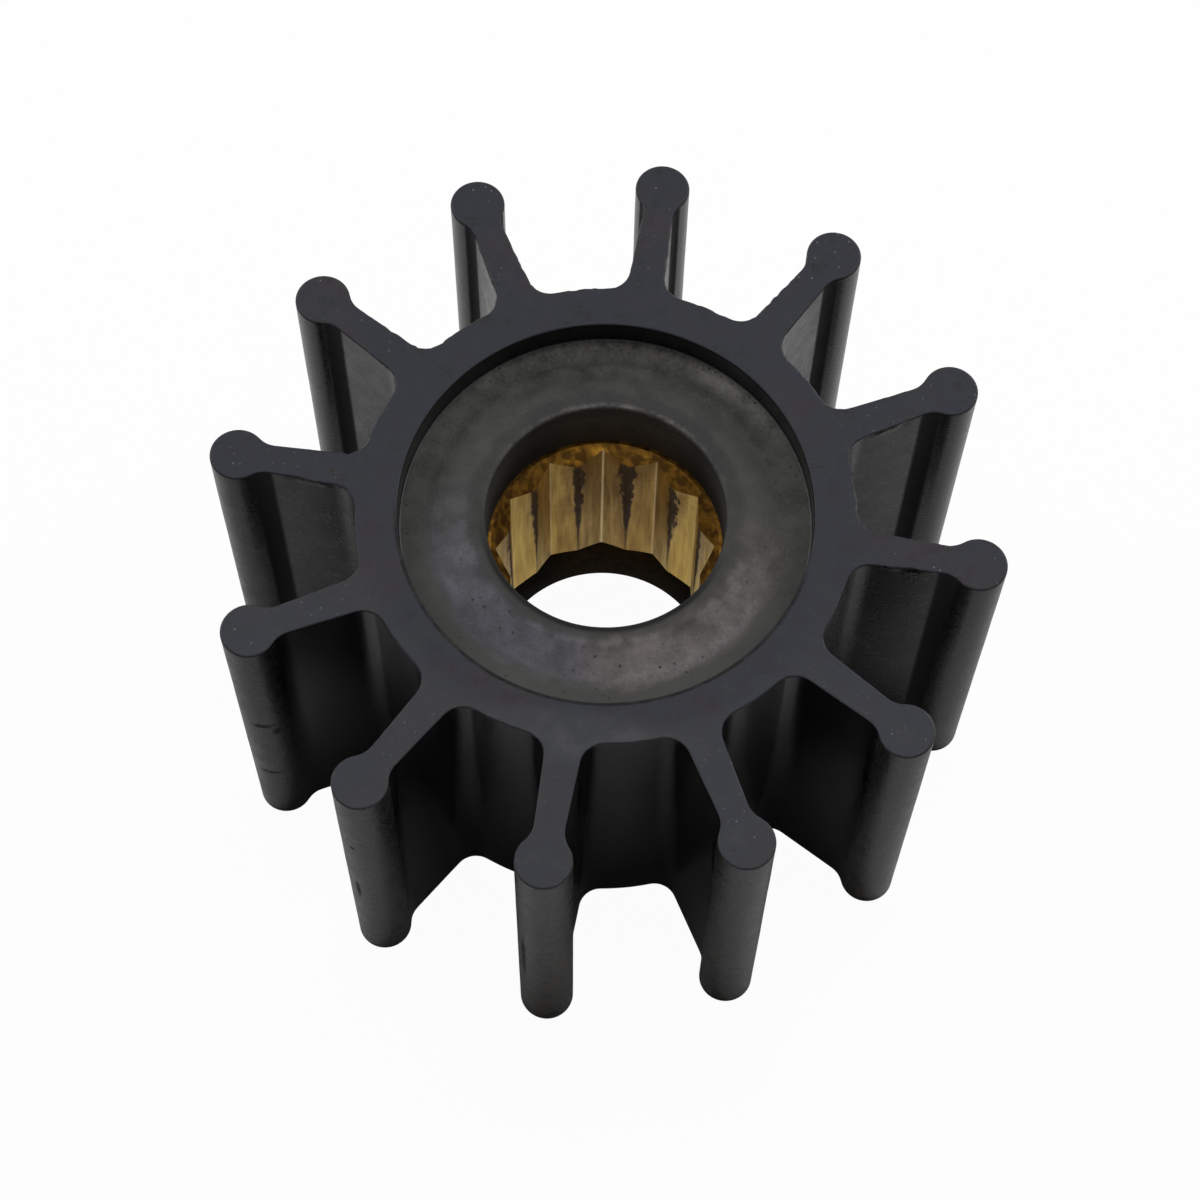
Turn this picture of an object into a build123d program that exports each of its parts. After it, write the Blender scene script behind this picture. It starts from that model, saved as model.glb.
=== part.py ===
from build123d import *
import os

os.makedirs("parts", exist_ok=True)

# A flexible impeller for a small sea-water pump: a rubber hub with twelve vanes, moulded in one piece
# round a brass bush that a shaft drives. All lengths are in millimetres. The axis is +Z, the impeller
# stands on its lower end face at Z = 0, and one vane points along +X.

# ---- Driving dimensions: rubber ----
VANE_COUNT = 12
TIP_DIAMETER = 57.15            # over the vane tips, free and unloaded
WIDTH = 31.75                   # along the axis, the same for the hub and the vanes
HUB_DIAMETER = 35.6             # outside of the hub, between the vanes
BEAD_DIAMETER = 4.0             # round sealing bead along each vane's tip
VANE_ROOT_THICKNESS = 2.7       # web where it leaves the hub
VANE_NECK_THICKNESS = 2.05      # web where it runs into the bead
VANE_ROOT_FILLET = 1.7
VANE_NECK_FILLET = 1.8
RECESS_DIAMETER = 29.5          # round recess in each end of the hub
RECESS_DEPTH = 2.2
RECESS_LEDGE = 1.9              # flat floor between the recess wall and the slope up to the land
LAND_RISE = 1.0                 # how far the land round the bore stands above that floor
LAND_WIDTH = 1.4                # flat top of the land, measured out from the bore
RUBBER_BORE_DIAMETER = 17.1
BORE_LIP_FILLET = 0.4           # rounded lip where the rubber bore meets the land

# ---- Driving dimensions: brass ----
SHAFT_DIAMETER = 15.875         # 5/8 in drive shaft, over the corners of its drive
SHAFT_CLEARANCE = 0.05          # on the diameter
DRIVE_SIDES = 6                 # sides of each of the two hexagons that make the twelve-point bore
BUSH_DIAMETER = 21.0
BUSH_LENGTH = 17.0
BUSH_END_DEPTH = 6.35           # from the upper end face of the rubber down to the bush
BUSH_TURN = 10.0                # degrees from a vane's mid-line to a corner of the drive bore
LEAD_IN_DIAMETER = 16.6         # mouth of the 45 degree countersink in each end of the bush
KEY_GROOVE_WIDTH = 3.0          # groove round the bush that locks it endways in the rubber
KEY_GROOVE_DEPTH = 0.6

# ---- Derived places ----
hub_radius = HUB_DIAMETER / 2
bead_radius = BEAD_DIAMETER / 2
bead_centre = TIP_DIAMETER / 2 - bead_radius
recess_radius = RECESS_DIAMETER / 2
bore_radius = RUBBER_BORE_DIAMETER / 2
bush_radius = BUSH_DIAMETER / 2
bush_middle = WIDTH - BUSH_END_DEPTH - BUSH_LENGTH / 2


def vane_outline():
    """One vane in plan, along +X: a web that thins outwards, and the round bead at its tip."""
    taper = (VANE_ROOT_THICKNESS - VANE_NECK_THICKNESS) / (bead_centre - hub_radius)
    inner_half = (VANE_ROOT_THICKNESS + taper * (hub_radius - recess_radius)) / 2
    neck_half = VANE_NECK_THICKNESS / 2
    web = Polygon(
        (recess_radius, -inner_half),
        (bead_centre, -neck_half),
        (bead_centre, neck_half),
        (recess_radius, inner_half),
        align=None,
    )
    return web + Pos(bead_centre, 0) * Circle(bead_radius)


def impeller_outline():
    """Hub and vanes in plan, with fillets at every vane's root and neck."""
    vanes = [place * vane_outline() for place in PolarLocations(0, VANE_COUNT)]
    outline = Circle(hub_radius) + vanes
    middle_radius = (hub_radius + bead_centre) / 2
    roots = outline.vertices().filter_by(lambda v: v.center().length < middle_radius)
    outline = fillet(roots, VANE_ROOT_FILLET)
    necks = outline.vertices().filter_by(lambda v: v.center().length > middle_radius)
    return fillet(necks, VANE_NECK_FILLET)


def end_hollow():
    """The hollow in the upper end of the hub: recess, sloping floor, and bore down to mid-width."""
    floor_level = WIDTH - RECESS_DEPTH
    land_level = floor_level + LAND_RISE
    section = Polygon(
        (0, WIDTH),
        (recess_radius, WIDTH),
        (recess_radius, floor_level),
        (recess_radius - RECESS_LEDGE, floor_level),
        (bore_radius + LAND_WIDTH, land_level),
        (bore_radius, land_level),
        (bore_radius, WIDTH / 2),
        (0, WIDTH / 2),
        align=None,
    )
    lip = section.vertices().sort_by_distance((bore_radius, land_level))[0]
    section = fillet(lip, BORE_LIP_FILLET)
    return revolve(Plane.XZ * section, Axis.Z)


def bush_blank():
    """The turned brass bush before its bore: a cylinder with a keying groove round its middle."""
    groove = Cylinder(bush_radius, KEY_GROOVE_WIDTH)
    groove -= Cylinder(bush_radius - KEY_GROOVE_DEPTH, KEY_GROOVE_WIDTH)
    return Pos(0, 0, bush_middle) * (Cylinder(bush_radius, BUSH_LENGTH) - groove)


def drive_bore():
    """The twelve-point bore: two hexagons half a step apart, cut right through the bush."""
    corner_radius = (SHAFT_DIAMETER + SHAFT_CLEARANCE) / 2
    half_step = 180 / DRIVE_SIDES
    hexagon = RegularPolygon(corner_radius, DRIVE_SIDES, rotation=BUSH_TURN)
    star = hexagon + Rot(0, 0, half_step) * hexagon
    return Pos(0, 0, bush_middle) * extrude(star, BUSH_LENGTH / 2, both=True)


def lead_in(end):
    """The countersink that leads the shaft into one end of the bush; end is 1 or -1."""
    mouth_radius = LEAD_IN_DIAMETER / 2
    mouth = Cone(0, mouth_radius, mouth_radius, align=(Align.CENTER, Align.CENTER, Align.MAX))
    if end < 0:
        mouth = mouth.mirror(Plane.XY)
    return Pos(0, 0, bush_middle + end * BUSH_LENGTH / 2) * mouth


def make_brass_insert():
    """The drive bush, with its twelve-point bore and a countersink in each end."""
    return bush_blank() - drive_bore() - lead_in(1) - lead_in(-1)


def make_rubber_impeller():
    """The moulding: hub and vanes in one, hollowed at both ends and moulded round the bush."""
    upper = end_hollow()
    lower = Pos(0, 0, WIDTH) * upper.mirror(Plane.XY)
    moulding = extrude(impeller_outline(), WIDTH)
    return moulding - upper - lower - bush_blank()


export_step(make_rubber_impeller(), "parts/rubber_impeller.step")
export_step(make_brass_insert(), "parts/brass_insert.step")
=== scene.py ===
import math

import bmesh
import bpy
from mathutils import Matrix, Vector


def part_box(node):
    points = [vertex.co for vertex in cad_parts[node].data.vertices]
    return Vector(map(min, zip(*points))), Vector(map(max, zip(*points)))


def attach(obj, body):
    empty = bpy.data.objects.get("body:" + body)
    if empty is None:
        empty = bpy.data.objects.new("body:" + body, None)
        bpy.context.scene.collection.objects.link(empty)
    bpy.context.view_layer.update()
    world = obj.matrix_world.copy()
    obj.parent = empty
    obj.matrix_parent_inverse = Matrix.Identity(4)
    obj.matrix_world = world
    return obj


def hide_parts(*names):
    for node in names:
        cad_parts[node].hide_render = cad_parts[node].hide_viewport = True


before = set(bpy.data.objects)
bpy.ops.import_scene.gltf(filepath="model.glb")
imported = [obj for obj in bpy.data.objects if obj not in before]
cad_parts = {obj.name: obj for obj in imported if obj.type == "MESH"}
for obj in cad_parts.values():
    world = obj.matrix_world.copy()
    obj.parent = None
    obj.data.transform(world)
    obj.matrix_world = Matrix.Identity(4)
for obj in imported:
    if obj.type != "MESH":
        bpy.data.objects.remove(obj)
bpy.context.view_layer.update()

MM = 0.001

# ---------------------------------------------------------------------------------------------------
# The moulding: one piece of black nitrile rubber, a hub with twelve straight vanes that each end in a
# round sealing bead. It is moulded round the bush, and its edges keep the mould's small radius.
# ---------------------------------------------------------------------------------------------------
moulding_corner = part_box("rubber_impeller")[1]
TIP_RADIUS = moulding_corner.x
WIDTH = moulding_corner.z
VANE_COUNT = 12
HUB_RADIUS = 17.8 * MM
BEAD_RADIUS = 2.0 * MM
ROOT_HALF = 1.35 * MM            # half of the web's thickness at the hub
NECK_HALF = 1.025 * MM           # and where it runs into the bead
ROOT_FILLET = 1.7 * MM
NECK_FILLET = 1.8 * MM
EDGE_RADIUS = 0.14 * MM          # round of the mould's edges
RECESS_RADIUS = 14.75 * MM
RECESS_DEPTH = 2.2 * MM
RECESS_CORNER = 0.15 * MM        # round between the recess wall and its floor
RECESS_LEDGE = 1.9 * MM
LEDGE_BLEND = 1.6 * MM           # soft bend where the ledge turns into the slope
LAND_RISE = 1.0 * MM
LAND_WIDTH = 1.4 * MM
LAND_BLEND = 1.2 * MM            # and where the slope turns into the land
BORE_RADIUS = 8.55 * MM
LIP_RADIUS = 0.25 * MM

# The bush's outside, which the rubber is moulded to.
bush_low, bush_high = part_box("brass_insert")
bush_middle = (bush_low.z + bush_high.z) / 2
BUSH_RADIUS = bush_high.x
GROOVE_RADIUS = BUSH_RADIUS - 0.6 * MM
GROOVE_HALF = 1.5 * MM

# The mesh: lengths of its steps, and rows that lie close to an edge so that flats stay flat.
OUTLINE_STEP = 0.3 * MM
ARC_SEGMENTS = 5
ROW_GAP = 0.05 * MM
CLOSE_ROWS = [0.35 * MM, 0.60 * MM, 0.95 * MM, 1.40 * MM]
MIDDLE_ROWS = 16
HOLLOW_STEPS = 18                # round one vane's share of the hub's hollow
WELD = 0.001 * MM                # points nearer than this are the same point


def unit(angle):
    """The direction at that angle in plan."""
    return Vector((math.cos(angle), math.sin(angle)))


def bearing(vector):
    """The angle of a direction in plan."""
    return math.atan2(vector.y, vector.x)


def arc(centre, radius, start, end, step):
    """Points along an arc, with their outward normals; a negative radius is a hollow arc."""
    count = max(2, round(abs((end - start) * radius) / step))
    angles = [start + (end - start) * i / count for i in range(count + 1)]
    side = 1 if radius > 0 else -1
    return [(centre + unit(a) * abs(radius), unit(a) * side) for a in angles]


def half_vane(step):
    """Half of one vane's outline, from mid-pocket on the hub to the tip, as points with normals."""
    bead = Vector((TIP_RADIUS - BEAD_RADIUS, 0))
    lean = math.atan2(ROOT_HALF - NECK_HALF, bead.x - HUB_RADIUS)
    along = Vector((math.cos(lean), -math.sin(lean)))
    out = Vector((math.sin(lean), math.cos(lean)))
    web = out.dot(bead + Vector((0, NECK_HALF)))        # how far the web's side lies from the axis
    root = out * (web + ROOT_FILLET)
    root += along * math.sqrt((HUB_RADIUS + ROOT_FILLET) ** 2 - (web + ROOT_FILLET) ** 2)
    rise = web + NECK_FILLET - out.dot(bead)
    neck = out * (web + NECK_FILLET)
    neck += along * (along.dot(bead) - math.sqrt((BEAD_RADIUS + NECK_FILLET) ** 2 - rise ** 2))
    hub_end = bearing(root)
    facing_web = bearing(-out)
    points = arc(Vector((0, 0)), HUB_RADIUS, math.pi / VANE_COUNT, hub_end, step)
    points += arc(root, -ROOT_FILLET, hub_end + math.pi, facing_web + 2 * math.pi, step)[1:]
    start, end = root - out * ROOT_FILLET, neck - out * NECK_FILLET
    count = round((end - start).length / step)
    points += [(start.lerp(end, i / count), out) for i in range(1, count)]
    points += arc(neck, -NECK_FILLET, facing_web, bearing(bead - neck), step)
    points += arc(bead, BEAD_RADIUS, bearing(neck - bead), 0, step)[1:]
    return points


def vane_outline(step):
    """One vane with its half pocket on each side, counter-clockwise."""
    half = half_vane(step)
    mirrored = [(Vector((p.x, -p.y)), Vector((n.x, -n.y))) for p, n in half]
    return mirrored + half[-2::-1]


def rounded(corners):
    """Corner points (x, y, radius) joined by arcs, with a close row each side so that flats stay flat."""
    points = []
    for i, (x, y, radius) in enumerate(corners):
        here = Vector((x, y))
        if radius == 0 or i in (0, len(corners) - 1):
            points.append(here)
            continue
        back = (Vector(corners[i - 1][:2]) - here).normalized()
        onward = (Vector(corners[i + 1][:2]) - here).normalized()
        half = back.angle(onward) / 2
        reach = radius / math.tan(half)
        centre = here + (back + onward).normalized() * radius / math.sin(half)
        start, end = here + back * reach, here + onward * reach
        points.append(start + back * ROW_GAP)
        for j in range(ARC_SEGMENTS + 1):
            turn = (start - centre).slerp(end - centre, j / ARC_SEGMENTS)
            points.append(centre + turn.normalized() * radius)
        points.append(end + onward * ROW_GAP)
    return points


def wall_rows():
    """The outer wall of the moulding: rows of points from the lower edge to the upper one."""
    corners = [
        (-2 * EDGE_RADIUS, 0, 0),
        (0, 0, EDGE_RADIUS),
        (0, WIDTH, EDGE_RADIUS),
        (-2 * EDGE_RADIUS, WIDTH, 0),
    ]
    section = rounded(corners)[1:-1]
    middle = len(section) // 2
    lowest, highest = CLOSE_ROWS[-1], WIDTH - CLOSE_ROWS[-1]
    heights = CLOSE_ROWS + [lowest + (highest - lowest) * i / MIDDLE_ROWS for i in range(1, MIDDLE_ROWS)]
    heights += [WIDTH - z for z in reversed(CLOSE_ROWS)]
    section[middle:middle] = [Vector((0, z)) for z in heights]
    outline = vane_outline(OUTLINE_STEP)
    return [[(*(p + n * s.x), s.y) for p, n in outline] for s in section]


def end_section():
    """Half of the hub's hollow as (radius, height) corners, from the upper end face to the bush."""
    floor_level = WIDTH - RECESS_DEPTH
    land = floor_level + LAND_RISE
    return [
        (RECESS_RADIUS + 2 * EDGE_RADIUS, WIDTH, 0),
        (RECESS_RADIUS, WIDTH, EDGE_RADIUS),
        (RECESS_RADIUS, floor_level, RECESS_CORNER),
        (RECESS_RADIUS - RECESS_LEDGE, floor_level, LEDGE_BLEND),
        (BORE_RADIUS + LAND_WIDTH, land, LAND_BLEND),
        (BORE_RADIUS, land, LIP_RADIUS),
    ]


def hollow_rows():
    """The hub's hollow and its seat round the bush, as rows of points from the upper end to the lower."""
    upper = end_section()
    lower = [(r, WIDTH - z, radius) for r, z, radius in reversed(upper)]
    seat = [
        (BORE_RADIUS, bush_high.z, 0),
        (BUSH_RADIUS, bush_high.z, 0),
        (BUSH_RADIUS, bush_middle + GROOVE_HALF, 0),
        (GROOVE_RADIUS, bush_middle + GROOVE_HALF, 0),
        (GROOVE_RADIUS, bush_middle - GROOVE_HALF, 0),
        (BUSH_RADIUS, bush_middle - GROOVE_HALF, 0),
        (BUSH_RADIUS, bush_low.z, 0),
        (BORE_RADIUS, bush_low.z, 0),
    ]
    section = rounded(upper + seat + lower)[1:-1]
    sector = 2 * math.pi / VANE_COUNT
    turns = [unit(sector * (i / HOLLOW_STEPS - 0.5)) for i in range(HOLLOW_STEPS + 1)]
    return [[(*(turn * s.x), s.y) for turn in turns] for s in section]


def loft(name, rows):
    """A mesh of quads through rows of points, which all have the same number of points."""
    across = len(rows[0])
    verts = [tuple(p) for row in rows for p in row]
    faces = [
        (r * across + i, r * across + i + 1, (r + 1) * across + i + 1, (r + 1) * across + i)
        for r in range(len(rows) - 1)
        for i in range(across - 1)
    ]
    mesh = bpy.data.meshes.new(name)
    mesh.from_pydata(verts, [], faces)
    return mesh


def join_meshes(name, meshes):
    """Several meshes as one; the welding comes later, in the ring tree."""
    joined = bmesh.new()
    for mesh in meshes:
        joined.from_mesh(mesh)
    mesh = bpy.data.meshes.new(name)
    joined.to_mesh(mesh)
    joined.free()
    return mesh


def new_node(tree, kind, inputs=(), **settings):
    """Adds a node, sets its properties and its inputs, and links the inputs that are sockets."""
    node = tree.nodes.new(kind)
    for name, value in settings.items():
        setattr(node, name, value)
    for name, value in dict(inputs).items():
        if isinstance(value, bpy.types.NodeSocket):
            tree.links.new(value, node.inputs[name])
        else:
            node.inputs[name].default_value = value
    return node


def maths(tree, operation, first, second=0.0, third=0.0):
    """One Math node, for shader and Geometry Nodes trees alike."""
    inputs = {0: first, 1: second, 2: third}
    return new_node(tree, "ShaderNodeMath", inputs, operation=operation).outputs[0]


def product(tree, *values):
    result = values[0]
    for value in values[1:]:
        result = maths(tree, "MULTIPLY", result, value)
    return result


def total(tree, *values):
    result = values[0]
    for value in values[1:]:
        result = maths(tree, "ADD", result, value)
    return result


def scaled(tree, value, factor, offset):
    """The value times a factor, plus an offset."""
    return maths(tree, "MULTIPLY_ADD", value, factor, offset)


def strongest(tree, *masks):
    """The largest of several masks."""
    result = masks[0]
    for mask in masks[1:]:
        result = maths(tree, "MAXIMUM", result, mask)
    return result


def fade(tree, value, start, end):
    """0 at start and 1 at end, smooth between and level beyond."""
    inputs = {"Value": value, "From Min": start, "From Max": end}
    return new_node(tree, "ShaderNodeMapRange", inputs, interpolation_type="SMOOTHSTEP").outputs[0]


def band(tree, value, rise, fall):
    """1 between two borders, each given as (0 here, 1 here)."""
    return product(tree, fade(tree, value, *rise), fade(tree, value, *fall))


def vector_maths(tree, operation, first, second=(0, 0, 0)):
    inputs = {0: first, 1: second}
    return new_node(tree, "ShaderNodeVectorMath", inputs, operation=operation).outputs[0]


def times(tree, vector, factor):
    inputs = {0: vector, "Scale": factor}
    return new_node(tree, "ShaderNodeVectorMath", inputs, operation="SCALE").outputs[0]


def length(tree, vector):
    return new_node(tree, "ShaderNodeVectorMath", {0: vector}, operation="LENGTH").outputs["Value"]


def new_tree(name, sockets, kind="GeometryNodeTree"):
    """A node tree with the named inputs and outputs, given as (name, type, default or None, is output)."""
    tree = bpy.data.node_groups.new(name, kind)
    for label, socket_type, default, is_output in sockets:
        direction = "OUTPUT" if is_output else "INPUT"
        socket = tree.interface.new_socket(label, in_out=direction, socket_type=socket_type)
        if default is not None:
            socket.default_value = default
    return tree


def ring_tree():
    """Repeats one sector of a piece round the axis and welds the sectors into one skin."""
    tree = new_tree("ring of sectors", [
        ("Sector", "NodeSocketGeometry", None, False),
        ("Count", "NodeSocketInt", 12, False),
        ("Finish", "NodeSocketMaterial", None, False),
        ("Ring", "NodeSocketGeometry", None, True),
    ])
    start = tree.nodes.new("NodeGroupInput").outputs
    points = new_node(tree, "GeometryNodePoints", {"Count": start["Count"]})
    step = maths(tree, "DIVIDE", math.tau, start["Count"])
    index = new_node(tree, "GeometryNodeInputIndex").outputs[0]
    turn = new_node(tree, "ShaderNodeCombineXYZ", {"Z": maths(tree, "MULTIPLY", index, step)})
    ring = new_node(tree, "GeometryNodeInstanceOnPoints", {
        "Points": points.outputs[0], "Instance": start["Sector"], "Rotation": turn.outputs[0]})
    ring = new_node(tree, "GeometryNodeRealizeInstances", {0: ring.outputs[0]})
    ring = new_node(tree, "GeometryNodeMergeByDistance", {"Geometry": ring.outputs[0], "Distance": WELD})
    ring = new_node(tree, "GeometryNodeSetMaterial", {
        "Geometry": ring.outputs[0], "Material": start["Finish"]})
    tree.links.new(ring.outputs[0], tree.nodes.new("NodeGroupOutput").inputs[0])
    return tree


def closed_ends(tree, ring, split, width):
    """Fills the open rim at each end of a ring with a flat face, marked end_face, and welds them on."""
    neighbours = new_node(tree, "GeometryNodeInputMeshEdgeNeighbors").outputs[0]
    is_rim = new_node(tree, "FunctionNodeCompare", {2: neighbours, 3: 1}, data_type="INT", operation="EQUAL")
    half_width = maths(tree, "MULTIPLY", width, 0.5)
    whole = new_node(tree, "GeometryNodeJoinGeometry")
    tree.links.new(ring, whole.inputs[0])
    for compare, height in (("GREATER_THAN", width), ("LESS_THAN", 0.0)):
        side = new_node(tree, "FunctionNodeCompare", {0: split["Z"], 1: half_width}, operation=compare)
        both = new_node(tree, "FunctionNodeBooleanMath", {0: is_rim.outputs[0], 1: side.outputs[0]})
        rim = new_node(tree, "GeometryNodeMeshToCurve", {"Mesh": ring, "Selection": both.outputs[0]})
        face = new_node(tree, "GeometryNodeFillCurve", {0: rim.outputs[0]}, mode="TRIANGLES")
        lift = new_node(tree, "ShaderNodeCombineXYZ", {"X": split["X"], "Y": split["Y"], "Z": height})
        face = new_node(tree, "GeometryNodeSetPosition", {
            "Geometry": face.outputs[0], "Position": lift.outputs[0]})
        face = new_node(tree, "GeometryNodeStoreNamedAttribute", {
            "Geometry": face.outputs[0], "Name": "end_face", "Value": 1.0}, data_type="FLOAT", domain="FACE")
        tree.links.new(face.outputs[0], whole.inputs[0])
    merged = {"Geometry": whole.outputs[0], "Distance": WELD}
    return new_node(tree, "GeometryNodeMergeByDistance", merged).outputs[0]


# Sizes of the moulding's unevenness, as cells of its noise to the metre, and where its rim is ragged.
LEAN_CELLS = 2.3                 # on the circle of directions: about one cell to a vane
WAVE_CELLS = 190.0
LUMP_CELLS = 2100.0
RAGGED_PLACE_CELLS = 330.0
RAGGED_PLACES = (0.44, 0.56)
RAGGED_DEPTH = (0.80 * MM, 0.15 * MM)
RAGGED_FROM = (16.5 * MM, 17.3 * MM)
RAGGED_TO = (25.5 * MM, 22.0 * MM)
RAGGED_SIDE = (-8.0 * MM, -3.0 * MM)


def centred_noise(tree, vector, cells):
    """A noise vector that changes over the surface, up to half a unit each way."""
    noise = new_node(tree, "ShaderNodeTexNoise", {"Vector": vector, "Scale": cells, "Detail": 1.0})
    return vector_maths(tree, "SUBTRACT", noise.outputs["Color"], (0.5, 0.5, 0.5))


def moulding_tree(ring_of_sectors):
    """Repeats one vane's sector round the axis, closes both end faces, and lets the rubber be uneven."""
    tree = new_tree("impeller moulding", [
        ("Vane Sector", "NodeSocketGeometry", None, False),
        ("Vane Count", "NodeSocketInt", 12, False),
        ("Width", "NodeSocketFloat", 0.03, False),
        ("Hub Radius", "NodeSocketFloat", 0.0178, False),
        ("Tip Radius", "NodeSocketFloat", 0.0286, False),
        ("Vane Lean", "NodeSocketFloat", 0.0002, False),
        ("Wall Waviness", "NodeSocketFloat", 0.00004, False),
        ("Ragged Rim", "NodeSocketFloat", 0.0001, False),
        ("Rubber", "NodeSocketMaterial", None, False),
        ("Moulding", "NodeSocketGeometry", None, True),
    ])
    start = tree.nodes.new("NodeGroupInput").outputs
    ring = new_node(tree, "GeometryNodeGroup", node_tree=ring_of_sectors)
    for label, source in (("Sector", "Vane Sector"), ("Count", "Vane Count"), ("Finish", "Rubber")):
        tree.links.new(start[source], ring.inputs[label])
    position = new_node(tree, "GeometryNodeInputPosition").outputs[0]
    split = new_node(tree, "ShaderNodeSeparateXYZ", {0: position}).outputs
    whole = closed_ends(tree, ring.outputs[0], split, start["Width"])

    plan = vector_maths(tree, "MULTIPLY", position, (1, 1, 0))
    outward = vector_maths(tree, "NORMALIZE", plan)
    sideways = vector_maths(tree, "CROSS_PRODUCT", (0, 0, 1), outward)
    radius = length(tree, plan)
    reach = fade(tree, radius, start["Hub Radius"], start["Tip Radius"])
    lean = new_node(tree, "ShaderNodeTexNoise", {"Vector": outward, "Scale": LEAN_CELLS}).outputs[0]
    lean = product(tree, maths(tree, "SUBTRACT", lean, 0.5), start["Vane Lean"], 2.0, reach)
    waves = vector_maths(tree, "MULTIPLY", centred_noise(tree, position, WAVE_CELLS), (1, 1, 0))
    moved = vector_maths(tree, "ADD", times(tree, sideways, lean), times(tree, waves, start["Wall Waviness"]))

    half_width = maths(tree, "MULTIPLY", start["Width"], 0.5)
    from_middle = maths(tree, "ABSOLUTE", maths(tree, "SUBTRACT", split["Z"], half_width))
    from_end = maths(tree, "SUBTRACT", half_width, from_middle)
    lumps = vector_maths(tree, "MULTIPLY", centred_noise(tree, position, LUMP_CELLS), (2, 2, 0))
    places = new_node(tree, "ShaderNodeTexNoise", {"Vector": position, "Scale": RAGGED_PLACE_CELLS})
    ragged = product(tree,
                     fade(tree, from_end, *RAGGED_DEPTH),
                     band(tree, radius, RAGGED_FROM, RAGGED_TO),
                     fade(tree, places.outputs[0], *RAGGED_PLACES),
                     fade(tree, split["Y"], *RAGGED_SIDE),
                     start["Ragged Rim"])
    moved = vector_maths(tree, "ADD", moved, times(tree, lumps, ragged))
    whole = new_node(tree, "GeometryNodeSetPosition", {"Geometry": whole, "Offset": moved})
    flat = new_node(tree, "GeometryNodeInputNamedAttribute", {"Name": "end_face"}, data_type="FLOAT")
    is_smooth = new_node(tree, "FunctionNodeCompare", {0: flat.outputs[0], 1: 0.5}, operation="LESS_THAN")
    whole = new_node(tree, "GeometryNodeSetShadeSmooth", {
        "Geometry": whole.outputs[0], "Shade Smooth": is_smooth.outputs[0]})
    whole = new_node(tree, "GeometryNodeRealizeInstances", {0: whole.outputs[0]})
    whole = new_node(tree, "GeometryNodeSetMaterial", {
        "Geometry": whole.outputs[0], "Material": start["Rubber"]})
    tree.links.new(whole.outputs[0], tree.nodes.new("NodeGroupOutput").inputs[0])
    return tree


def grow(name, mesh, tree, values):
    """Runs a Geometry Nodes tree on a mesh, with its inputs set by name, and keeps the plain result."""
    seed = bpy.data.objects.new(name + "_sector", mesh)
    bpy.context.scene.collection.objects.link(seed)
    modifier = seed.modifiers.new("nodes", "NODES")
    modifier.node_group = tree
    for item in tree.interface.items_tree:
        if item.in_out == "INPUT" and item.name in values:
            modifier[item.identifier] = values[item.name]
    depsgraph = bpy.context.evaluated_depsgraph_get()
    grown = bpy.data.meshes.new_from_object(seed.evaluated_get(depsgraph))
    bpy.data.objects.remove(seed)
    closed = bmesh.new()
    closed.from_mesh(grown)
    bmesh.ops.recalc_face_normals(closed, faces=closed.faces)
    closed.to_mesh(grown)
    closed.free()
    piece = bpy.data.objects.new(name, grown)
    bpy.context.scene.collection.objects.link(piece)
    return piece


def tint(tree, amount, under, over):
    """One colour laid over another by an amount, which may be a mask."""
    inputs = {0: amount, 6: under, 7: over}
    return new_node(tree, "ShaderNodeMix", inputs, data_type="RGBA").outputs[2]


def layered(tree, ground, *layers):
    """Colours laid over a ground one after another, each given as (amount, colour)."""
    for amount, colour in layers:
        ground = tint(tree, amount, ground, colour)
    return ground


def blend(tree, amount, first, second):
    """A mix of two vectors."""
    inputs = {0: amount, 4: first, 5: second}
    return new_node(tree, "ShaderNodeMix", inputs, data_type="VECTOR").outputs[1]


def mark(tree, place, centre, size):
    """A soft-edged mark on the surface round a point, given with its half sizes in millimetres."""
    away = vector_maths(tree, "SUBTRACT", place, [c * MM for c in centre])
    away = vector_maths(tree, "DIVIDE", away, [c * MM for c in size])
    return fade(tree, length(tree, away), 1.0, 0.35)


def clouds_tree():
    """Soft clouds of tone in the surface, each about Size wide; Stretch draws them out along an axis."""
    tree = new_tree("clouds", [
        ("Size", "NodeSocketFloat", 0.004, False),
        ("Contrast", "NodeSocketFloat", 2.0, False),
        ("Detail", "NodeSocketFloat", 1.0, False),
        ("Seed", "NodeSocketVector", (0, 0, 0), False),
        ("Stretch", "NodeSocketVector", (1, 1, 1), False),
        ("Tone", "NodeSocketFloat", None, True),
    ], "ShaderNodeTree")
    start = tree.nodes.new("NodeGroupInput").outputs
    place = new_node(tree, "ShaderNodeTexCoord").outputs["Object"]
    cell = vector_maths(tree, "MULTIPLY", start["Stretch"], start["Size"])
    place = vector_maths(tree, "ADD", vector_maths(tree, "DIVIDE", place, cell), start["Seed"])
    noise = new_node(tree, "ShaderNodeTexNoise", {
        "Vector": place, "Scale": 1.0, "Detail": start["Detail"], "Roughness": 0.6})
    tone = maths(tree, "SUBTRACT", noise.outputs[0], 0.5)
    tone = maths(tree, "MULTIPLY", tone, start["Contrast"])
    tone = new_node(tree, "ShaderNodeMath", {0: tone, 1: 0.5}, operation="ADD", use_clamp=True)
    tree.links.new(tone.outputs[0], tree.nodes.new("NodeGroupOutput").inputs[0])
    return tree


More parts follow.
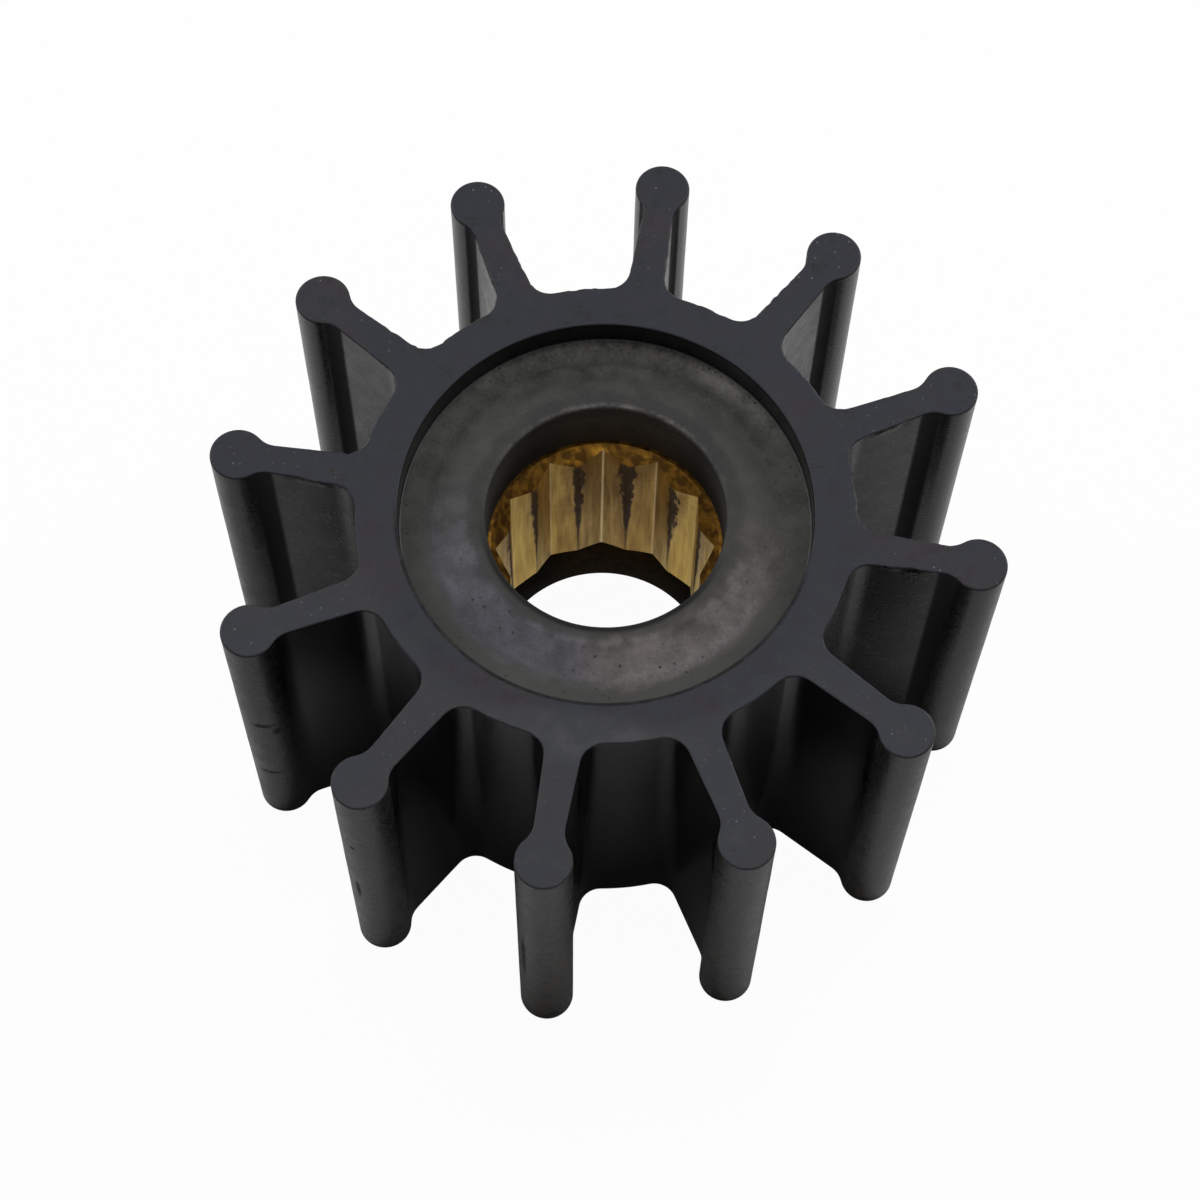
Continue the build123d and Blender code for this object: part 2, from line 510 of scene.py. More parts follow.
def specks_tree():
    """Small round specks strewn Spacing apart, of two kinds that never meet; Share is the part of each."""
    tree = new_tree("specks", [
        ("Spacing", "NodeSocketFloat", 0.001, False),
        ("First Size", "NodeSocketFloat", 0.0002, False),
        ("Second Size", "NodeSocketFloat", 0.0001, False),
        ("Share", "NodeSocketFloat", 0.3, False),
        ("First", "NodeSocketFloat", None, True),
        ("Second", "NodeSocketFloat", None, True),
    ], "ShaderNodeTree")
    start = tree.nodes.new("NodeGroupInput").outputs
    place = new_node(tree, "ShaderNodeTexCoord").outputs["Object"]
    place = vector_maths(tree, "DIVIDE", place, start["Spacing"])
    cells = new_node(tree, "ShaderNodeTexVoronoi", {"Vector": place, "Scale": 1.0})
    away = maths(tree, "MULTIPLY", cells.outputs["Distance"], start["Spacing"])
    chance = new_node(tree, "ShaderNodeSeparateColor", {0: cells.outputs["Color"]}).outputs[0]
    end = tree.nodes.new("NodeGroupOutput")
    for index, label in enumerate(("First", "Second")):
        size = start[label + " Size"]
        spare = maths(tree, "SUBTRACT", start["Share"], chance)
        strength = new_node(tree, "ShaderNodeMath", {0: spare, 1: start["Share"]},
                            operation="DIVIDE", use_clamp=True)
        dot = fade(tree, away, size, maths(tree, "MULTIPLY", size, 0.5))
        tree.links.new(product(tree, dot, strength.outputs[0]), end.inputs[index])
        chance = maths(tree, "SUBTRACT", 1.0, chance)
    return tree


clouds_group = clouds_tree()
specks_group = specks_tree()
ring_of_sectors = ring_tree()


def clouds(tree, size, contrast, seed, stretch=(1, 1, 1), detail=1.0):
    """The clouds group, with its size in millimetres."""
    values = {"Size": size * MM, "Contrast": contrast, "Seed": (7.3 * seed, 0, 3.1 * seed),
              "Stretch": stretch, "Detail": detail}
    return new_node(tree, "ShaderNodeGroup", values, node_tree=clouds_group).outputs[0]


def specks(tree, spacing, first_size, second_size, share):
    """The specks group, with its sizes in millimetres; it gives the masks of both kinds."""
    values = {"Spacing": spacing * MM, "First Size": first_size * MM,
              "Second Size": second_size * MM, "Share": share}
    return new_node(tree, "ShaderNodeGroup", values, node_tree=specks_group).outputs


BLUE_GROUND = (0.0040, 0.0054, 0.0110, 1)        # the end faces, where the black has a blue cast
BROWN_GROUND = (0.0082, 0.0066, 0.0084, 1)       # and where it has a brown one
PALE_GROUND = (0.0520, 0.0540, 0.0600, 1)        # and where they are paler
WALL_RUBBER = (0.0070, 0.0070, 0.0072, 1)        # the sides, which keep the mould's skin
DARK_RUBBER_AND_SHADE = (0.0035, 0.0035, 0.0037, 1)        # painted shade in the hollows beside the beads, at the near vane roots and along the near edges; also the dark of the scuffs and pits
RECESS_RUBBER = (0.0340, 0.0335, 0.0305, 1)      # the hub's recess, dull with bloom
# Painted light: the rubber of the bore below the bush, which lies in shade, is made paler.
BORE_PAINTED_LIGHT = (0.0730, 0.0670, 0.0600, 1)
# Pale bloom; also painted light on the recess's near slope and a painted highlight on its far lip.
PALE_BLOOM_AND_LIGHT = (0.1650, 0.1480, 0.1440, 1)
BLUE_BLOOM_AND_LIGHT = (0.0980, 0.0980, 0.1190, 1)
LEDGE_PAINTED_LIGHT = (0.1560, 0.1510, 0.1420, 1)
BEAD_BLOOM = (0.0360, 0.0320, 0.0285, 1)
# Pale dust; also the colour of a painted highlight on the recess slope.
DUST_AND_HIGHLIGHT = (0.19, 0.19, 0.195, 1)
# How much of a surface's shade is steady, and how much comes from the middling and the fine clouds.
WALL_SHADE = (0.35, 0.45, 0.50)
END_SHADE = (0.10, 0.95, 0.50)
RECESS_SHADE = (0.175, 0.80, 0.50)
NEAR_RECESS_SHADE = (0.615, 0.30, 0.12)
WIDE_SHADE = 0.30
# A paler patch on the upper end face at the hub's near edge, and dark scuffs on the beads: centre and half
# sizes, mm.
PALE_HUB_PATCH = ((1.0, -17.4, 31.7), (10.5, 2.6, 2.0))
SCUFFS = [
    ((-22.9, -15.3, 18.5), (1.10, 0.8, 0.50)),
    ((-21.9, -15.1, 17.2), (0.50, 0.8, 0.80)),
    ((-23.2, -15.3, 8.8), (1.30, 1.0, 0.30)),
    ((-14.0, -24.9, 22.9), (0.30, 0.5, 0.45)),
    ((-14.2, -24.8, 13.4), (0.24, 0.5, 2.20)),
    ((-1.4, -28.0, 14.0), (0.30, 0.6, 6.00)),
]
# Where one region gives way to the next: each pair runs from where a mask is 0 to where it is 1.
# These go by the depth under the nearer end face,
ON_END = (0.06 * MM, 0.02 * MM)
UNDER_RIM = (2.8 * MM, 0.2 * MM)
PITTED_DEPTH = (12.0 * MM, 0.0)
OVER_FLOOR = (RECESS_DEPTH + 0.3 * MM, RECESS_DEPTH + 0.2 * MM)
# these by Y, from the near vanes (below 0) to the far ones,
POCKET_SIDE = (-2.0 * MM, -8.0 * MM)
NEAR_RECESS_SIDE = (3.0 * MM, -10.0 * MM)
FAR_SIDE = (-4.0 * MM, 10.0 * MM)
EDGE_SIDE = (0.0, -6.0 * MM)
# and these by the radius.
LEDGE_END = RECESS_RADIUS - RECESS_LEDGE
LAND_END = BORE_RADIUS + LAND_WIDTH
ON_BEAD = (25.1 * MM, 25.5 * MM)
DUSTY = (15.0 * MM, 25.0 * MM)
IN_NECK = ((23.7 * MM, 24.1 * MM), (25.4 * MM, 25.1 * MM))
NEAR_ROOT = (23.5 * MM, 19.5 * MM)
IN_ROOT = ((HUB_RADIUS + 0.03 * MM, HUB_RADIUS + 0.14 * MM), (20.2 * MM, 19.6 * MM))
OUTSIDE = (16.0 * MM, 16.2 * MM)
IN_HOLLOW = ((RECESS_RADIUS - 0.02 * MM, RECESS_RADIUS - 0.14 * MM),
             (BORE_RADIUS + 0.04 * MM, BORE_RADIUS + 0.14 * MM))
IN_BORE = (BORE_RADIUS + 0.10 * MM, BORE_RADIUS + 0.03 * MM)
ON_LIP = (BORE_RADIUS + 0.60 * MM, BORE_RADIUS + 0.25 * MM)
ON_LEDGE = (LEDGE_END - 0.25 * MM, RECESS_RADIUS - 0.45 * MM)
ON_LAND = (LAND_END + 0.45 * MM, LAND_END - 0.45 * MM)
ON_SLOPE = ((LEDGE_END + 0.45 * MM, LEDGE_END - 0.65 * MM), (LAND_END - 0.95 * MM, LAND_END + 0.45 * MM))
DOWN_SLOPE = (LEDGE_END - 0.25 * MM, LEDGE_END - 1.65 * MM)
SLOPE_EDGE = ((LEDGE_END + 0.15 * MM, LEDGE_END - 0.35 * MM), (LEDGE_END - 1.15 * MM, LEDGE_END - 0.55 * MM))
RECESS_EDGE = ((RECESS_RADIUS - 0.05 * MM, RECESS_RADIUS + 0.02 * MM),
               (RECESS_RADIUS + 0.35 * MM, RECESS_RADIUS + 0.20 * MM))
RECESS_WALL = ((RECESS_RADIUS - 0.07 * MM, RECESS_RADIUS - 0.01 * MM),
               (RECESS_RADIUS + 0.20 * MM, RECESS_RADIUS + 0.10 * MM))
BORE_EDGE = ((BORE_RADIUS - 0.05 * MM, BORE_RADIUS + 0.05 * MM),
             (BORE_RADIUS + 0.65 * MM, BORE_RADIUS + 0.25 * MM))
SPECULAR = 0.22
SMOOTHEST = 0.22                 # roughness of the mould's skin before grain, bloom and dust
GRAIN_HEIGHT = 0.006 * MM

rubber = bpy.data.materials.new("moulded_rubber")
rubber.use_nodes = True
tree = rubber.node_tree
bsdf = tree.nodes["Principled BSDF"]
bsdf.inputs["Specular IOR Level"].default_value = SPECULAR

place = new_node(tree, "ShaderNodeTexCoord").outputs["Object"]
axes = new_node(tree, "ShaderNodeSeparateXYZ", {0: place}).outputs
radius = length(tree, vector_maths(tree, "MULTIPLY", place, (1, 1, 0)))
from_middle = maths(tree, "ABSOLUTE", maths(tree, "SUBTRACT", axes["Z"], WIDTH / 2))
from_end = maths(tree, "SUBTRACT", WIDTH / 2, from_middle)

# Masks of the moulding's regions, by the distance from its axis and from the nearer end.
on_end = fade(tree, from_end, *ON_END)
off_end = maths(tree, "SUBTRACT", 1.0, on_end)
in_recess = product(tree, band(tree, radius, *IN_HOLLOW), fade(tree, from_end, *OVER_FLOOR))
on_ledge = product(tree, in_recess, fade(tree, radius, *ON_LEDGE))
on_lip = product(tree, in_recess, fade(tree, radius, *ON_LIP))
in_bore = fade(tree, radius, *IN_BORE)
on_bead = product(tree, off_end, fade(tree, radius, *ON_BEAD))
in_neck = product(tree, off_end, band(tree, radius, *IN_NECK))
outside = fade(tree, radius, *OUTSIDE)
near_root = fade(tree, radius, *NEAR_ROOT)
pocket_side = fade(tree, axes["Y"], *POCKET_SIDE)
in_root = product(tree, off_end, band(tree, radius, *IN_ROOT), pocket_side)
far_side = fade(tree, axes["Y"], *FAR_SIDE)
on_near_recess = product(tree, in_recess, fade(tree, axes["Y"], *NEAR_RECESS_SIDE))
aside = fade(tree, maths(tree, "ABSOLUTE", axes["X"]), 3.0 * MM, 6.5 * MM)

wide = clouds(tree, 7.0, 2.4, 1.0, detail=0.0)
middling = clouds(tree, 1.6, 2.6, 2.0)
fine = clouds(tree, 0.30, 2.6, 3.0)
speckled = total(tree, fine, middling)

# The sides: painted shade in the hollows beside the beads and at the near vane roots, bloom on the beads,
# stronger towards the lower end, bloom at the far roots, and the scuffs.
# Painted shade: the hollows beside the beads and at the near vane roots are darkened.
hollow = strongest(tree, in_neck, in_root)
bead_tone = scaled(tree, middling, 0.3, fade(tree, axes["Z"], 42.0 * MM, -4.0 * MM))
bead_bloom = product(tree, on_bead, fade(tree, axes["X"], -26.0 * MM, -6.0 * MM), bead_tone)
rim_bloom = product(tree, fade(tree, from_end, *UNDER_RIM), near_root, outside, off_end, far_side,
                    fade(tree, speckled, 0.7, 1.5), 0.45)
scuffed = strongest(tree, *[mark(tree, place, *scuff) for scuff in SCUFFS])
scuffed = product(tree, scuffed, maths(tree, "MINIMUM", scaled(tree, fine, 0.6, 0.45), 1.0))
sides = layered(tree, WALL_RUBBER,
                (hollow, DARK_RUBBER_AND_SHADE),
                (bead_bloom, BEAD_BLOOM),
                (rim_bloom, PALE_BLOOM_AND_LIGHT),
                (scuffed, DARK_RUBBER_AND_SHADE))

# The end faces: two casts of black, paler towards the near vanes and in a patch at the hub's near edge.
browned = fade(tree, product(tree, total(tree, wide, middling), 0.5), 0.45, 0.80)
near_vanes = product(tree, fade(tree, axes["Y"], -2.0 * MM, -14.0 * MM),
                     fade(tree, radius, 16.2 * MM, 18.2 * MM), 0.15)
pale_hub_patch = product(tree, mark(tree, place, *PALE_HUB_PATCH), total(tree, middling, 1.2), 0.16)
ends = layered(tree, BLUE_GROUND,
               (browned, BROWN_GROUND),
               (near_vanes, PALE_GROUND),
               (pale_hub_patch, PALE_GROUND))

# The recess: a border that wanders, bloom and painted light on its near slope, painted light on its far
# ledge, painted shade on its far slope, and painted highlights at the slope's near right edge and along the
# far lip.
wandering = scaled(tree, maths(tree, "SUBTRACT", middling, 0.5), 0.5 * MM, radius)
on_slope = product(tree, on_near_recess, band(tree, wandering, *ON_SLOPE))
on_land = product(tree, in_recess, fade(tree, wandering, *ON_LAND))
# Painted light with bloom: the near slope of the recess is made paler, mottled pale and blue.
slope_light_and_bloom = product(tree, on_slope, scaled(tree, fine, 0.10, scaled(tree, middling, 0.24, 0.59)))
blueness = fade(tree, scaled(tree, wide, 8.0 * MM, axes["X"]), 8.0 * MM, -4.0 * MM)
# Painted highlight: a pale band along the slope's outer edge on the near right, in the dust colour.
slope_highlight = product(tree, in_recess,
                     band(tree, radius, *SLOPE_EDGE),
                     fade(tree, axes["Y"], -4.0 * MM, -7.0 * MM),
                     fade(tree, axes["X"], -2.0 * MM, 6.0 * MM),
                     scaled(tree, fine, 0.25, 0.15))
# Painted highlight: a pale, speckled band along the far lip of the bore, strongest at its middle.
lip_highlight = product(tree, on_lip, speckled, far_side, scaled(tree, aside, -0.15, 0.25))
# Painted shade: the far side of the slope is darkened towards the wall colour.
far_slope_shade = product(tree, far_side, fade(tree, radius, *DOWN_SLOPE), 0.58)
# Painted light: the far ledge, which lies in the shadow of the recess wall, is made paler.
far_ledge_light = product(tree, on_ledge, fade(tree, axes["Y"], 7.0 * MM, 14.0 * MM), 0.82)
recess = layered(tree, RECESS_RUBBER,
                 (far_slope_shade, WALL_RUBBER),
                 (far_ledge_light, LEDGE_PAINTED_LIGHT),
                 (slope_light_and_bloom, tint(tree, blueness, PALE_BLOOM_AND_LIGHT, BLUE_BLOOM_AND_LIGHT)),
                 (product(tree, on_land, 0.45), WALL_RUBBER),
                 (slope_highlight, DUST_AND_HIGHLIGHT),
                 (lip_highlight, PALE_BLOOM_AND_LIGHT))

# All of them together, with painted shade along the near edges of the recess and the bore, shaded by the
# clouds, pitted and dusted.
# Painted shade: dark lines along the near side of the recess rim and of the bore's edge.
recess_edge = product(tree, band(tree, radius, *RECESS_EDGE), fade(tree, from_end, RECESS_DEPTH, 0.5 * MM))
both_edges = strongest(tree, recess_edge, band(tree, radius, *BORE_EDGE))
shaded_near_edges = product(tree, fade(tree, axes["Y"], *EDGE_SIDE), both_edges)
colour = layered(tree, sides,
                 (on_end, ends),
                 (in_recess, recess),
                 # Painted light in the bore, palest at its middle and darker to the sides.
                 (in_bore, tint(tree, product(tree, aside, 0.85), BORE_PAINTED_LIGHT, WALL_RUBBER)),
                 (product(tree, shaded_near_edges, 0.8), DARK_RUBBER_AND_SHADE))
shares = blend(tree, on_end, WALL_SHADE, END_SHADE)
shares = blend(tree, in_recess, shares, RECESS_SHADE)
shares = blend(tree, on_near_recess, shares, NEAR_RECESS_SHADE)
textures = new_node(tree, "ShaderNodeCombineXYZ", {"X": 1.0, "Y": middling, "Z": fine}).outputs[0]
shade = new_node(tree, "ShaderNodeVectorMath", {0: shares, 1: textures}, operation="DOT_PRODUCT")
shade = scaled(tree, wide, WIDE_SHADE, shade.outputs["Value"])
colour = times(tree, colour, shade)
pits, dust = specks(tree, 0.46, 0.15, 0.09, 0.42)
pitted = product(tree, near_root, outside, off_end, fade(tree, from_end, *PITTED_DEPTH), 0.6)
pits = product(tree, pits, total(tree, in_recess, pitted), fade(tree, fine, 0.20, 0.6), 0.9)
dust = product(tree, dust, strongest(tree, on_end, on_bead), fade(tree, radius, *DUSTY))
colour = layered(tree, colour,
                 (pits, DARK_RUBBER_AND_SHADE),
                 (product(tree, dust, 0.7), DUST_AND_HIGHLIGHT))
tree.links.new(colour, bsdf.inputs["Base Color"])

# Roughness and grain: the near pockets and the recess wall keep the mould's polish.
pocket_skin = product(tree, pocket_side, outside, fade(tree, radius, 25.8 * MM, 25.0 * MM))
polished = product(tree, strongest(tree, pocket_skin, band(tree, radius, *RECESS_WALL)), off_end)
polished = strongest(tree, polished, product(tree, on_bead, far_side, 0.5))
grainy = maths(tree, "SUBTRACT", scaled(tree, on_end, 0.6, 1.0), polished)
roughness = scaled(tree, product(tree, speckled, 0.08), grainy, SMOOTHEST)
mottle = total(tree, product(tree, wide, 0.07), product(tree, middling, 0.13), 0.08)
backed_neck = product(tree, in_neck, fade(tree, axes["Y"], -12.0 * MM, -4.0 * MM))
for rougher, amount in (
    (on_end, mottle),
    (in_recess, 0.34),
    (backed_neck, 0.6),
    (shaded_near_edges, 0.3),
    (in_bore, 0.6),
    (scuffed, 0.6),
    (dust, 0.3),
):
    roughness = scaled(tree, rougher, amount, roughness)
tree.links.new(maths(tree, "MINIMUM", roughness, 1.0), bsdf.inputs["Roughness"])
bump = new_node(tree, "ShaderNodeBump", {
    "Height": product(tree, fine, grainy), "Strength": 1.0, "Distance": GRAIN_HEIGHT})
tree.links.new(bump.outputs[0], bsdf.inputs["Normal"])

sector = join_meshes("vane_sector", [loft("wall", wall_rows()), loft("hollow", hollow_rows())])
moulding = grow("rubber_moulding", sector, moulding_tree(ring_of_sectors), {
    "Vane Count": VANE_COUNT,
    "Width": WIDTH,
    "Hub Radius": HUB_RADIUS,
    "Tip Radius": TIP_RADIUS,
    "Vane Lean": 0.15 * MM,
    "Wall Waviness": 0.05 * MM,
    "Ragged Rim": 0.22 * MM,
    "Rubber": rubber,
})
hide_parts("rubber_impeller")
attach(moulding, "root")

# ---------------------------------------------------------------------------------------------------
# The drive bush: turned brass with a twelve-point bore, broached right through, and a countersink in
# each end. The rubber is moulded round it and grips the groove in its outside.
# ---------------------------------------------------------------------------------------------------
POINT_COUNT = 12
POINT_RADIUS = 7.9625 * MM       # out to the corners of the drive
BUSH_TURN = math.radians(10)
MOUTH_RADIUS = 8.3 * MM
CORNER_ROUND = 0.10 * MM
RIDGE_ROUND = 0.08 * MM
FLAT_STEP = 0.25 * MM
LEVELS = 16                      # rows of faces up the bore


def filled_in(points, step):
    """The same outline with its long stretches divided."""
    dense = [points[0]]
    for start, end in zip(points, points[1:]):
        count = max(1, round((end - start).length / step))
        dense += [start.lerp(end, i / count) for i in range(1, count + 1)]
    return dense


def drive_point():
    """One point of the drive bore in plan, from the middle of one flat round to the next but one."""
    half_step = math.pi / POINT_COUNT
    ridge_radius = POINT_RADIUS * math.cos(math.pi / 6) / math.cos(half_step)
    corner = unit(BUSH_TURN) * POINT_RADIUS
    ridge = unit(BUSH_TURN + half_step) * ridge_radius
    before = (corner + unit(BUSH_TURN - half_step) * ridge_radius) / 2
    after = Matrix.Rotation(2 * half_step, 2) @ before
    corners = [(*before, 0), (*corner, CORNER_ROUND), (*ridge, RIDGE_ROUND), (*after, 0)]
    return filled_in(rounded(corners), FLAT_STEP)


def bush_rows():
    """The whole skin of the bush: up its bore, out over its upper end, down outside and back."""
    outline = drive_point()
    half_length = (bush_high.z - bush_low.z) / 2
    reaches = [half_length - (MOUTH_RADIUS - p.length) for p in outline]     # up to the countersink
    levels = [2 * i / LEVELS - 1 for i in range(LEVELS + 1)]
    rows = [[(*p, bush_middle + level * reach) for p, reach in zip(outline, reaches)] for level in levels]
    outside = [
        (MOUTH_RADIUS, half_length),
        (BUSH_RADIUS, half_length),
        (BUSH_RADIUS, GROOVE_HALF),
        (GROOVE_RADIUS, GROOVE_HALF),
        (GROOVE_RADIUS, -GROOVE_HALF),
        (BUSH_RADIUS, -GROOVE_HALF),
        (BUSH_RADIUS, -half_length),
        (MOUTH_RADIUS, -half_length),
    ]
    for radius, height in outside:
        rows.append([(*(p.normalized() * radius), bush_middle + height) for p in outline])
    return rows + rows[:1]


BRIGHT_BRASS = (0.83, 0.565, 0.105, 1)
HIGHLIGHT_BRASS = (0.93, 0.77, 0.42, 1)               # a painted highlight down each corner
RED_BRASS = (0.29, 0.148, 0.027, 1)
TARNISHED_BRASS = (0.076, 0.037, 0.0090, 1)      # the countersink, and its brighter spots
YELLOW_BRASS = (0.50, 0.25, 0.030, 1)
STAIN = (0.068, 0.046, 0.025, 1)
SHADED_BEARING = math.radians(98)  # where the flats are painted darker and redder as shade, and how far round, in radians
SHADED_SPREAD = (0.75, 0.35)
STAIN_HALF = 0.50 * MM           # half the width of the stain that runs down each inward ridge
STAIN_DROP = (10.5 * MM, 23.0 * MM)
STAIN_TOP = (22.5 * MM, 24.8 * MM)
STAIN_EDGE = (0.13 * MM, -0.10 * MM)             # past the stain's own border, and the grime's
GRIME_EDGE = (1.3 * MM, -0.1 * MM)
CORNER_LINE = (0.16 * MM, 0.05 * MM)
SLANTING = (0.25, 0.45)          # how far a face looks up or down: the countersinks do, flats don't
# Brighter spots on the countersink: centre and half sizes, mm.
BRIGHT_SPOTS = [
    ((-3.3, 7.0, 25.0), (1.3, 0.9, 0.8)),
    ((-1.6, 7.7, 25.0), (0.9, 0.6, 0.8)),
    ((2.3, 7.6, 25.0), (1.0, 0.6, 0.8)),
]

brass = bpy.data.materials.new("turned_brass")
brass.use_nodes = True
tree = brass.node_tree
bsdf = tree.nodes["Principled BSDF"]
coordinates = new_node(tree, "ShaderNodeTexCoord").outputs
place = coordinates["Object"]
axes = new_node(tree, "ShaderNodeSeparateXYZ", {0: place}).outputs
radius = length(tree, vector_maths(tree, "MULTIPLY", place, (1, 1, 0)))
angle = maths(tree, "ARCTAN2", axes["Y"], axes["X"])
point_step = 2 * math.pi / POINT_COUNT
turned = maths(tree, "DIVIDE", maths(tree, "SUBTRACT", angle, BUSH_TURN), point_step)
from_corner = maths(tree, "PINGPONG", turned, 0.5)          # 0 at a corner, half at an inward ridge
corner_gap = product(tree, from_corner, point_step, radius)
ridge_gap = product(tree, maths(tree, "SUBTRACT", 0.5, from_corner), point_step, radius)
facing = new_node(tree, "ShaderNodeSeparateXYZ", {0: coordinates["Normal"]}).outputs["Z"]
on_countersink = fade(tree, maths(tree, "ABSOLUTE", facing), *SLANTING)

broach = clouds(tree, 0.10, 2.4, 11.0, (1, 1, 60))
smears = clouds(tree, 0.5, 2.0, 12.0, (1, 1, 9))
blotches = clouds(tree, 0.8, 4.5, 13.0)
ragged = clouds(tree, 0.5, 2.0, 14.0, (1, 1, 2.2))
each = clouds(tree, 3.2, 5.0, 15.0, (1, 1, 8))

# Stains that run down the ridges, each of its own width, ragged, and narrower at the top.
drop = fade(tree, axes["Z"], *STAIN_DROP)
reach = product(tree, drop, STAIN_HALF,
                scaled(tree, each, 0.6, 0.60),
                scaled(tree, ragged, 1.20, 0.40),
                scaled(tree, fade(tree, axes["Z"], *STAIN_TOP), -0.35, 1.0))
beyond = maths(tree, "SUBTRACT", ridge_gap, reach)
on_flat = maths(tree, "SUBTRACT", 1.0, on_countersink)
stained = product(tree, fade(tree, beyond, *STAIN_EDGE), on_flat)
grimy = product(tree, fade(tree, beyond, *GRIME_EDGE), drop, scaled(tree, broach, 0.60, 0.35))

# Painted shade: the flats round one bearing are painted darker and redder, and the corner highlight is
# strongest there.
from_shaded = maths(tree, "ABSOLUTE", maths(tree, "SUBTRACT", angle, SHADED_BEARING))
shaded_flats = fade(tree, from_shaded, *SHADED_SPREAD)
catching = scaled(tree, product(tree, shaded_flats, shaded_flats), 0.65, 0.1)
# Painted highlight: a pale line down each outward corner of the bore, strongest on the flats painted as
# shaded.
gleam = product(tree, fade(tree, corner_gap, *CORNER_LINE), catching)
spots = strongest(tree, *[mark(tree, place, *spot) for spot in BRIGHT_SPOTS])
brightened = product(tree, blotches, scaled(tree, spots, 0.42, 0.25))
colour = layered(tree, BRIGHT_BRASS,
                 (product(tree, smears, scaled(tree, shaded_flats, 0.45, 0.25)), RED_BRASS),
                 (product(tree, shaded_flats, 0.48), RED_BRASS),
                 (strongest(tree, grimy, product(tree, broach, 0.30)), RED_BRASS),
                 (gleam, HIGHLIGHT_BRASS),
                 (product(tree, stained, 0.9), STAIN),
                 (on_countersink, tint(tree, brightened, TARNISHED_BRASS, YELLOW_BRASS)))
tree.links.new(colour, bsdf.inputs["Base Color"])
tree.links.new(scaled(tree, stained, -0.7, 1.0), bsdf.inputs["Metallic"])
tree.links.new(scaled(tree, stained, 0.25, scaled(tree, smears, 0.16, 0.30)), bsdf.inputs["Roughness"])
height = scaled(tree, broach, 0.008, scaled(tree, blotches, 0.01, product(tree, stained, 0.02)))
bump = new_node(tree, "ShaderNodeBump", {"Height": height, "Strength": 1.0, "Distance": MM})
tree.links.new(bump.outputs[0], bsdf.inputs["Normal"])

bush = grow("brass_bush", loft("bush_sector", bush_rows()), ring_of_sectors, {
    "Count": POINT_COUNT,
    "Finish": brass,
})
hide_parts("brass_insert")
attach(bush, "root")

# ---------------------------------------------------------------------------------------------------
# Where it stands: a plain white table top that runs out to a white surround.
# ---------------------------------------------------------------------------------------------------
FLOOR_HALF = 1.5
PAPER_GREY = 0.70                # what the light on the object gets back from the table top
SEEN_WHITE = 0.965               # how much of it the camera sees as plain white
BORE_GLOW = 0.36                 # painted reflection: a spot of it under the bore glows for reflected rays only, and the brass shows it
BORE_SPOT = (9.5 * MM, 7.5 * MM)
AMBIENT = 0.06
WHITE = (1, 1, 1, 1)

floor_mesh = bpy.data.meshes.new("floor")
floor_corners = [(-FLOOR_HALF, -FLOOR_HALF, 0), (FLOOR_HALF, -FLOOR_HALF, 0),
                 (FLOOR_HALF, FLOOR_HALF, 0), (-FLOOR_HALF, FLOOR_HALF, 0)]
floor_mesh.from_pydata(floor_corners, [], [(0, 1, 2, 3)])
floor = bpy.data.objects.new("floor", floor_mesh)
bpy.context.scene.collection.objects.link(floor)

paper = bpy.data.materials.new("white_paper")
paper.use_nodes = True
tree = paper.node_tree
tree.nodes.clear()
path = new_node(tree, "ShaderNodeLightPath").outputs
in_gloss = strongest(tree, path["Is Glossy Ray"], path["Is Transmission Ray"])
from_axis = length(tree, new_node(tree, "ShaderNodeTexCoord").outputs["Object"])
# Painted reflection: the spot under the bore glows only in reflections.
through_bore = product(tree, in_gloss, fade(tree, from_axis, *BORE_SPOT), BORE_GLOW)
glow = scaled(tree, path["Is Camera Ray"], SEEN_WHITE, through_bore)
sheet = new_node(tree, "ShaderNodeBsdfDiffuse", {"Color": (PAPER_GREY, PAPER_GREY, PAPER_GREY, 1)})
white = new_node(tree, "ShaderNodeEmission", {"Color": WHITE, "Strength": 1.0})
both = new_node(tree, "ShaderNodeMixShader", {0: glow, 1: sheet.outputs[0], 2: white.outputs[0]})
new_node(tree, "ShaderNodeOutputMaterial", {"Surface": both.outputs[0]})
floor_mesh.materials.append(paper)

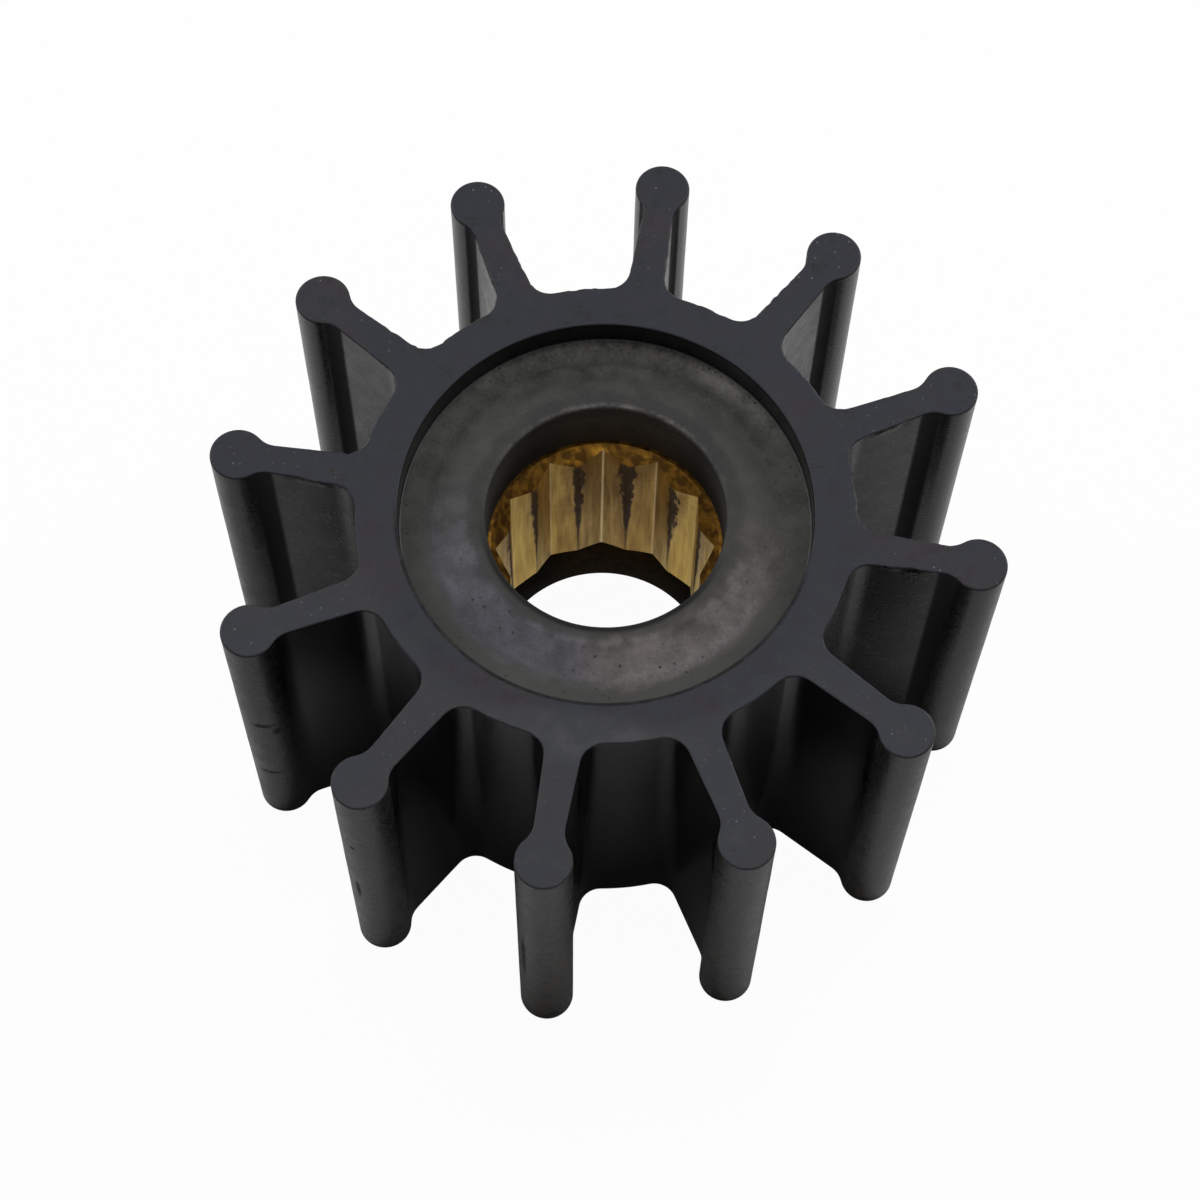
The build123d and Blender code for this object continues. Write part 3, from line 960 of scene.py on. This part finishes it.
world = bpy.data.worlds.new("surround")
bpy.context.scene.world = world
world.use_nodes = True
tree = world.node_tree
tree.nodes.clear()
path = new_node(tree, "ShaderNodeLightPath").outputs
strength = strongest(tree, path["Is Camera Ray"], path["Is Glossy Ray"], path["Is Transmission Ray"], AMBIENT)
sky = new_node(tree, "ShaderNodeBackground", {"Color": WHITE, "Strength": strength})
new_node(tree, "ShaderNodeOutputWorld", {"Surface": sky.outputs[0]})


def soft_light(name, azimuth, elevation, distance, size, power):
    """A square soft box aimed at the middle of the impeller."""
    lamp = bpy.data.lights.new(name, "AREA")
    lamp.shape = "SQUARE"
    lamp.size = size
    lamp.energy = power
    holder = bpy.data.objects.new(name, lamp)
    plan = unit(math.radians(azimuth)) * math.cos(math.radians(elevation))
    holder.location = Vector((*plan, math.sin(math.radians(elevation)))) * distance
    aim = Vector((0, 0, WIDTH / 2)) - holder.location
    holder.rotation_euler = aim.to_track_quat("-Z", "Y").to_euler()
    bpy.context.scene.collection.objects.link(holder)


soft_light("light_left", azimuth=147, elevation=35, distance=0.8, size=0.5, power=4.3)
soft_light("light_right", azimuth=50, elevation=35, distance=0.8, size=0.5, power=4.7)
soft_light("light_top", azimuth=90, elevation=80, distance=0.8, size=0.25, power=1.3)

# ---------------------------------------------------------------------------------------------------
# The camera looks down at the upper end face from about 65 degrees.
# ---------------------------------------------------------------------------------------------------
VIEW_AZIMUTH = math.radians(-82.19)
VIEW_ELEVATION = math.radians(64.69)
VIEW_DISTANCE = 214.9 * MM       # from the middle of the upper end face
VIEW_ROLL = math.radians(1.23)
VIEW_AIM = Vector((-0.26, -0.19, 15.88)) * MM
SENSOR_WIDTH = 36.0              # mm, as a camera's own sizes are
LENS = 91.15

eye = bpy.data.cameras.new("camera")
eye.sensor_width = SENSOR_WIDTH
eye.lens = LENS
camera = bpy.data.objects.new("camera", eye)
toward = Vector((*(unit(VIEW_AZIMUTH) * math.cos(VIEW_ELEVATION)), math.sin(VIEW_ELEVATION)))
camera.location = Vector((0, 0, WIDTH)) + toward * VIEW_DISTANCE
aim_turn = (VIEW_AIM - camera.location).to_track_quat("-Z", "Y").to_matrix()
camera.rotation_euler = (aim_turn @ Matrix.Rotation(VIEW_ROLL, 3, "Z")).to_euler()
bpy.context.scene.collection.objects.link(camera)
bpy.context.scene.camera = camera
bpy.context.scene.view_settings.view_transform = "Standard"
